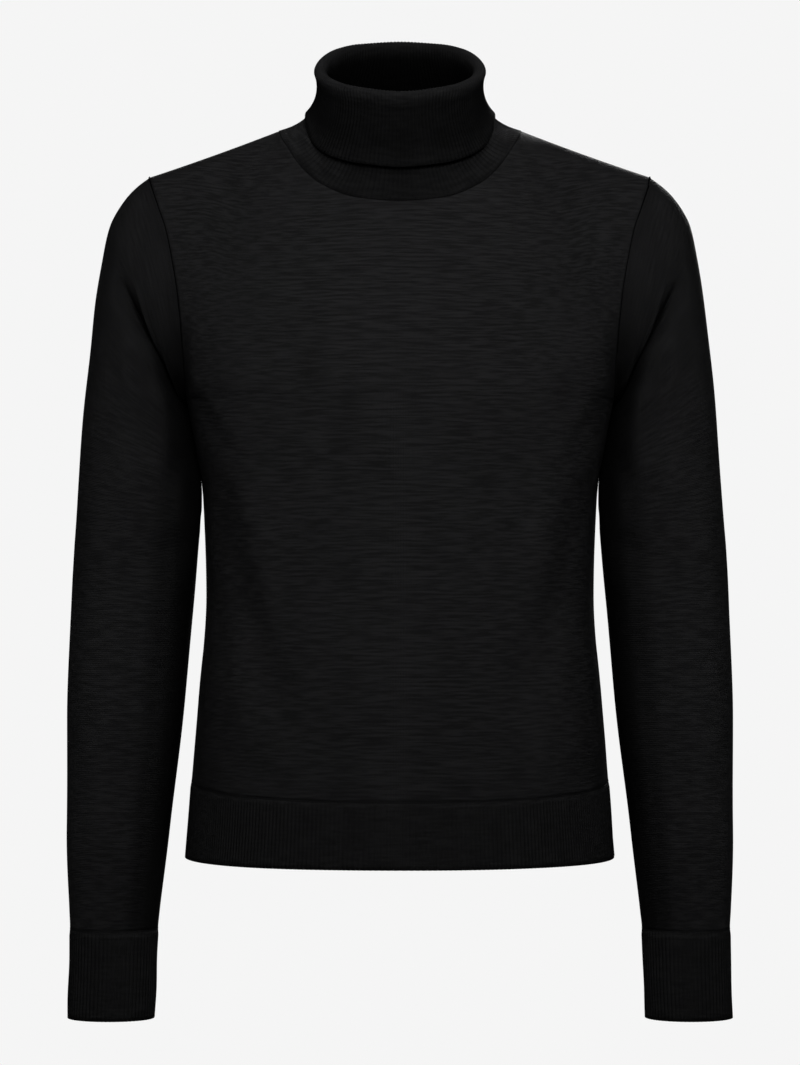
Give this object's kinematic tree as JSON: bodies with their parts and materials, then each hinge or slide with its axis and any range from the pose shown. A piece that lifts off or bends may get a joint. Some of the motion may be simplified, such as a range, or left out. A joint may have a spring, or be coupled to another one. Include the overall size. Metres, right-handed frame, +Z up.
{
  "type": "turtleneck sweater",
  "caption": "Plain black fine-knit turtleneck pullover with a ribbed fold-over collar, set-in sleeves, ribbed cuffs and a ribbed hem, filled out as if worn.",
  "frame": {"origin": "middle of the neck base, level with the points where the shoulders meet the neck, where the wearer's shoulders and neck hold the garment", "axes": "+Z up, along the wearer's height; -Y out of the front of the garment; +X to the right of a person who looks at the front"},
  "size_m": [0.5614, 0.2407, 0.8301],
  "materials": {
    "body_knit": "matt, fine plain knit wool",
    "rib_knit": "matt, fine ribbed knit wool"
  },
  "bodies": {
    "root": {"front_body": "body_knit", "back_body": "body_knit", "front_hem_rib": "rib_knit", "back_hem_rib": "rib_knit", "left_sleeve": "body_knit", "right_sleeve": "body_knit", "left_cuff": "rib_knit", "right_cuff": "rib_knit", "collar_rib": "rib_knit"}
  },
  "joints": []
}
